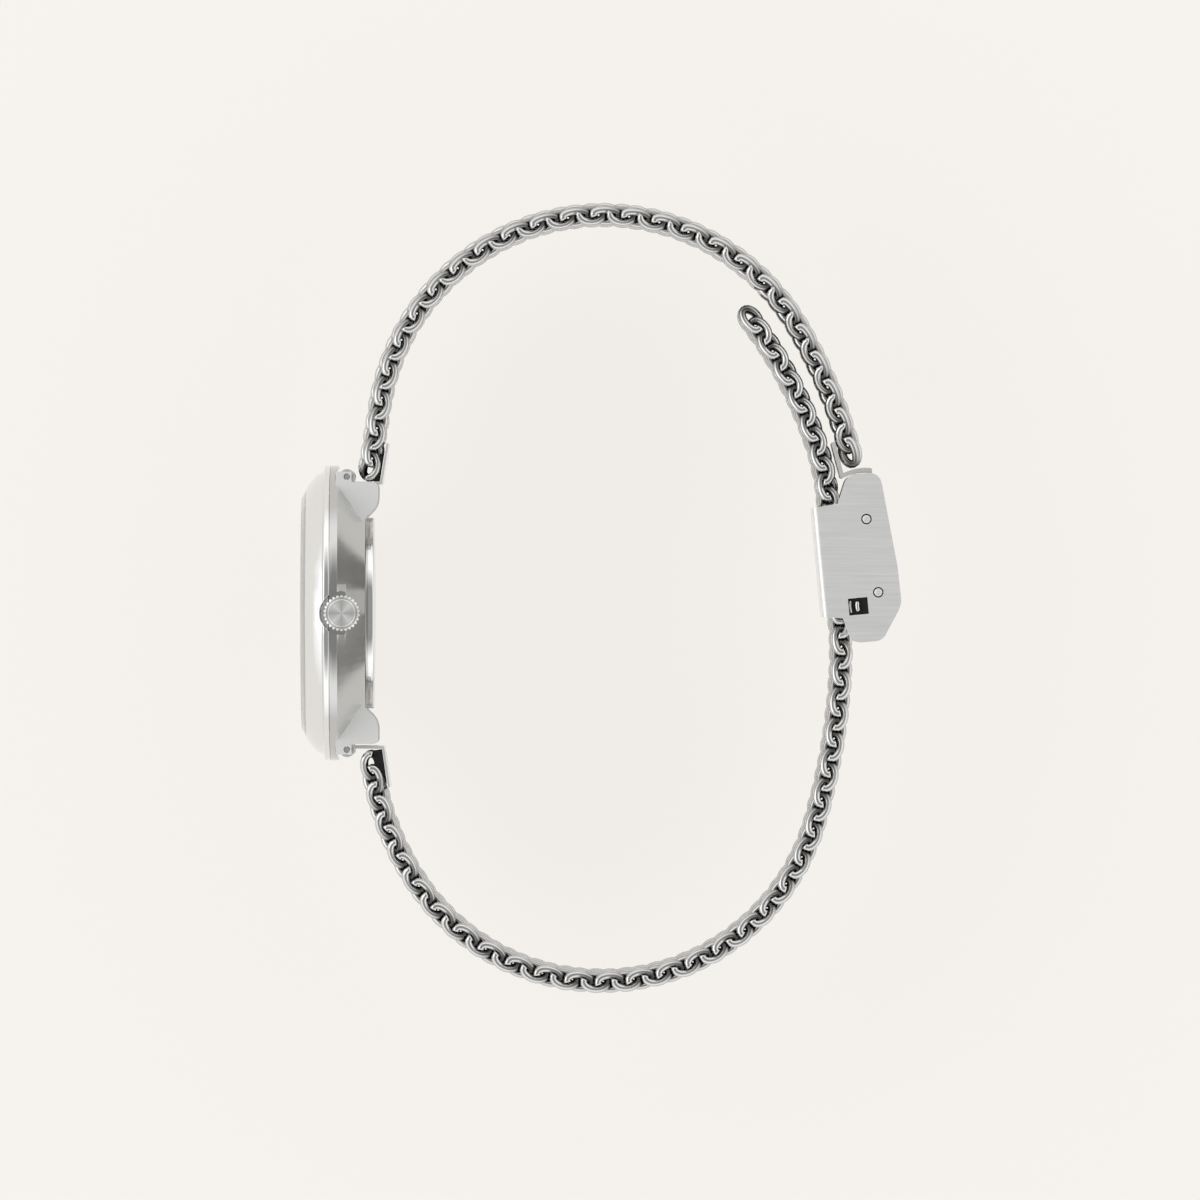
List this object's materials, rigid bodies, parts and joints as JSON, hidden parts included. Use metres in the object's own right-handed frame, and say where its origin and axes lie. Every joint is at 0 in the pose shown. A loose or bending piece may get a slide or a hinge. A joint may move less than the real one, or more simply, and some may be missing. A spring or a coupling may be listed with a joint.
{
  "type": "bracelet watch",
  "caption": "Round wristwatch with a slim polished case, a fluted crown and a closed woven mesh strap with a channel clasp, a hook and a locking lever.",
  "frame": {"origin": "middle of the case back's outer face", "axes": "+X out of the case back, through the wrist opening to the clasp; +Y to 12 o'clock; +Z to the crown at 3 o'clock"},
  "size_m": [0.0568, 0.0751, 0.0295],
  "materials": {
    "polished_case": "polished",
    "crystal": "clear",
    "dial": "satin",
    "hands": "polished",
    "movement": "satin",
    "pins": "turned",
    "mesh": "polished wire",
    "strap_sheet": "satin",
    "clasp": "brushed"
  },
  "bodies": {
    "head": {"mid_case": "polished_case", "bezel": "polished_case", "crystal": "crystal", "dial": "dial", "hour_markers": "hands", "movement": "movement", "case_back": "polished_case", "crown_tube": "pins", "upper_bar_tube": "pins", "lower_bar_tube": "pins"},
    "setting_pinion": {"setting_pinion": "movement"},
    "crown": {"crown": "polished_case", "stem": "pins"},
    "hour_hand": {"hour_hand": "hands"},
    "minute_hand": {"minute_hand": "hands"},
    "upper_bar_tip_crown_side": {"upper_bar_tip_crown_side": "pins"},
    "upper_bar_tip_far_side": {"upper_bar_tip_far_side": "pins"},
    "lower_bar_tip_crown_side": {"lower_bar_tip_crown_side": "pins"},
    "lower_bar_tip_far_side": {"lower_bar_tip_far_side": "pins"},
    "upper_strap_1": {"upper_mesh_1": "mesh", "upper_strap_end": "strap_sheet"},
    "upper_strap_2": {"upper_mesh_2": "mesh"},
    "upper_strap_3": {"upper_mesh_3": "mesh"},
    "upper_strap_4": {"upper_mesh_4": "mesh"},
    "upper_strap_5": {"upper_mesh_5": "mesh"},
    "upper_strap_6": {"upper_mesh_6": "mesh"},
    "upper_strap_7": {"upper_mesh_7": "mesh", "hook_sheet": "strap_sheet"},
    "lower_strap_1": {"lower_mesh_1": "mesh", "lower_strap_end": "strap_sheet"},
    "lower_strap_2": {"lower_mesh_2": "mesh"},
    "lower_strap_3": {"lower_mesh_3": "mesh"},
    "lower_strap_4": {"lower_mesh_4": "mesh"},
    "lower_strap_5": {"lower_mesh_5": "mesh"},
    "lower_strap_6": {"lower_mesh_6": "mesh"},
    "lower_strap_7": {"lower_mesh_7": "mesh"},
    "lower_strap_8": {"lower_mesh_8": "mesh", "clasp_body": "clasp", "hook_bar": "pins", "lever_pin": "pins"},
    "strap_tail_1": {"tail_mesh_1": "mesh"},
    "strap_tail_2": {"tail_mesh_2": "mesh"},
    "clasp_lever": {"clasp_lever": "clasp"}
  },
  "joints": [
    {"name": "crown_turn", "type": "hinge", "parent": "head", "child": "setting_pinion", "pos_m": [-0.00295, 0, 0], "axis": [0, 0, 1], "continuous": true},
    {"name": "crown_pull", "type": "slide", "parent": "setting_pinion", "child": "crown", "axis": [0, 0, 1], "range_m": [0, 0.0008]},
    {"name": "minute_hand_turn", "type": "hinge", "parent": "head", "child": "minute_hand", "pos_m": [0, 0, 0], "axis": [1, 0, 0], "continuous": true},
    {"name": "hour_hand_turn", "type": "hinge", "parent": "head", "child": "hour_hand", "pos_m": [0, 0, 0], "axis": [1, 0, 0], "continuous": true},
    {"name": "upper_bar_tip_crown_side_press", "type": "slide", "parent": "head", "child": "upper_bar_tip_crown_side", "axis": [0, 0, -1], "range_m": [0, 0.00075], "stiffness_N_per_m": 100, "springref_m": -0.003},
    {"name": "upper_bar_tip_far_side_press", "type": "slide", "parent": "head", "child": "upper_bar_tip_far_side", "axis": [0, 0, 1], "range_m": [0, 0.00075], "stiffness_N_per_m": 100, "springref_m": -0.003},
    {"name": "lower_bar_tip_crown_side_press", "type": "slide", "parent": "head", "child": "lower_bar_tip_crown_side", "axis": [0, 0, -1], "range_m": [0, 0.00075], "stiffness_N_per_m": 100, "springref_m": -0.003},
    {"name": "lower_bar_tip_far_side_press", "type": "slide", "parent": "head", "child": "lower_bar_tip_far_side", "axis": [0, 0, 1], "range_m": [0, 0.00075], "stiffness_N_per_m": 100, "springref_m": -0.003},
    {"name": "upper_strap_hinge_1", "type": "hinge", "parent": "head", "child": "upper_strap_1", "pos_m": [-0.00255, 0.01292, 0], "axis": [0, 0, 1], "range_deg": [-3, 3]},
    {"name": "upper_strap_hinge_2", "type": "hinge", "parent": "upper_strap_1", "child": "upper_strap_2", "pos_m": [0.00139, 0.02331, 0], "axis": [0, 0, 1], "range_deg": [-2.24, 2.24]},
    {"name": "upper_strap_hinge_3", "type": "hinge", "parent": "upper_strap_2", "child": "upper_strap_3", "pos_m": [0.00683, 0.03185, 0], "axis": [0, 0, 1], "range_deg": [-1.8, 1.8]},
    {"name": "upper_strap_hinge_4", "type": "hinge", "parent": "upper_strap_3", "child": "upper_strap_4", "pos_m": [0.01558, 0.03694, 0], "axis": [0, 0, 1], "range_deg": [-3.9, 3.9]},
    {"name": "upper_strap_hinge_5", "type": "hinge", "parent": "upper_strap_4", "child": "upper_strap_5", "pos_m": [0.0257, 0.03745, 0], "axis": [0, 0, 1], "range_deg": [-3.36, 3.36]},
    {"name": "upper_strap_hinge_6", "type": "hinge", "parent": "upper_strap_5", "child": "upper_strap_6", "pos_m": [0.03492, 0.03327, 0], "axis": [0, 0, 1], "range_deg": [-1.32, 1.32]},
    {"name": "upper_strap_hinge_7", "type": "hinge", "parent": "upper_strap_6", "child": "upper_strap_7", "pos_m": [0.04124, 0.02535, 0], "axis": [0, 0, 1], "range_deg": [-0.91, 0.91]},
    {"name": "lower_strap_hinge_1", "type": "hinge", "parent": "head", "child": "lower_strap_1", "pos_m": [-0.00255, -0.01292, 0], "axis": [0, 0, 1], "range_deg": [-5.45, 5.45]},
    {"name": "lower_strap_hinge_2", "type": "hinge", "parent": "lower_strap_1", "child": "lower_strap_2", "pos_m": [0.00276, -0.02346, 0], "axis": [0, 0, 1], "range_deg": [-0.17, 0.17]},
    {"name": "lower_strap_hinge_3", "type": "hinge", "parent": "lower_strap_2", "child": "lower_strap_3", "pos_m": [0.00942, -0.03109, 0], "axis": [0, 0, 1], "range_deg": [-2.9, 2.9]},
    {"name": "lower_strap_hinge_4", "type": "hinge", "parent": "lower_strap_3", "child": "lower_strap_4", "pos_m": [0.01885, -0.03476, 0], "axis": [0, 0, 1], "range_deg": [-3.56, 3.56]},
    {"name": "lower_strap_hinge_5", "type": "hinge", "parent": "lower_strap_4", "child": "lower_strap_5", "pos_m": [0.02891, -0.03362, 0], "axis": [0, 0, 1], "range_deg": [-2.72, 2.72]},
    {"name": "lower_strap_hinge_6", "type": "hinge", "parent": "lower_strap_5", "child": "lower_strap_6", "pos_m": [0.03729, -0.02793, 0], "axis": [0, 0, 1], "range_deg": [-1.18, 1.18]},
    {"name": "lower_strap_hinge_7", "type": "hinge", "parent": "lower_strap_6", "child": "lower_strap_7", "pos_m": [0.04205, -0.019, 0], "axis": [0, 0, 1], "range_deg": [-0.88, 0.88]},
    {"name": "lower_strap_hinge_8", "type": "hinge", "parent": "lower_strap_7", "child": "lower_strap_8", "pos_m": [0.04398, -0.00898, 0], "axis": [0, 0, 1], "range_deg": [-3.49, 3.49]},
    {"name": "strap_tail_hinge_1", "type": "hinge", "parent": "lower_strap_8", "child": "strap_tail_1", "pos_m": [0.04299, 0.01139, 0], "axis": [0, 0, 1], "range_deg": [-9.1, 9.1]},
    {"name": "strap_tail_hinge_2", "type": "hinge", "parent": "strap_tail_1", "child": "strap_tail_2", "pos_m": [0.04049, 0.01975, 0], "axis": [0, 0, 1], "range_deg": [-2.44, 2.44]},
    {"name": "clasp_lever_swing", "type": "hinge", "parent": "lower_strap_8", "child": "clasp_lever", "pos_m": [0.04777, 0.00197, 0], "axis": [0, 0, -1], "range_deg": [0, 105]}
  ],
  "couplings": [
    {"joint": "hour_hand_turn", "follows": "minute_hand_turn", "ratio": 0.083333},
    {"joint": "upper_strap_hinge_2", "follows": "upper_strap_hinge_1", "ratio": 0.7357},
    {"joint": "upper_strap_hinge_3", "follows": "upper_strap_hinge_1", "ratio": -0.5905},
    {"joint": "upper_strap_hinge_4", "follows": "upper_strap_hinge_1", "ratio": -1.2834},
    {"joint": "upper_strap_hinge_5", "follows": "upper_strap_hinge_1", "ratio": -1.1041},
    {"joint": "upper_strap_hinge_6", "follows": "upper_strap_hinge_1", "ratio": -0.4303},
    {"joint": "upper_strap_hinge_7", "follows": "upper_strap_hinge_1", "ratio": 0.297},
    {"joint": "lower_strap_hinge_1", "follows": "upper_strap_hinge_1", "ratio": -1.7947},
    {"joint": "lower_strap_hinge_2", "follows": "upper_strap_hinge_1", "ratio": -0.0501},
    {"joint": "lower_strap_hinge_3", "follows": "upper_strap_hinge_1", "ratio": 0.9529},
    {"joint": "lower_strap_hinge_4", "follows": "upper_strap_hinge_1", "ratio": 1.1693},
    {"joint": "lower_strap_hinge_5", "follows": "upper_strap_hinge_1", "ratio": 0.8924},
    {"joint": "lower_strap_hinge_6", "follows": "upper_strap_hinge_1", "ratio": 0.3847},
    {"joint": "lower_strap_hinge_7", "follows": "upper_strap_hinge_1", "ratio": -0.2856},
    {"joint": "lower_strap_hinge_8", "follows": "upper_strap_hinge_1", "ratio": -1.1461},
    {"joint": "strap_tail_hinge_1", "follows": "upper_strap_hinge_1", "ratio": -3},
    {"joint": "strap_tail_hinge_2", "follows": "upper_strap_hinge_1", "ratio": 0.8}
  ]
}
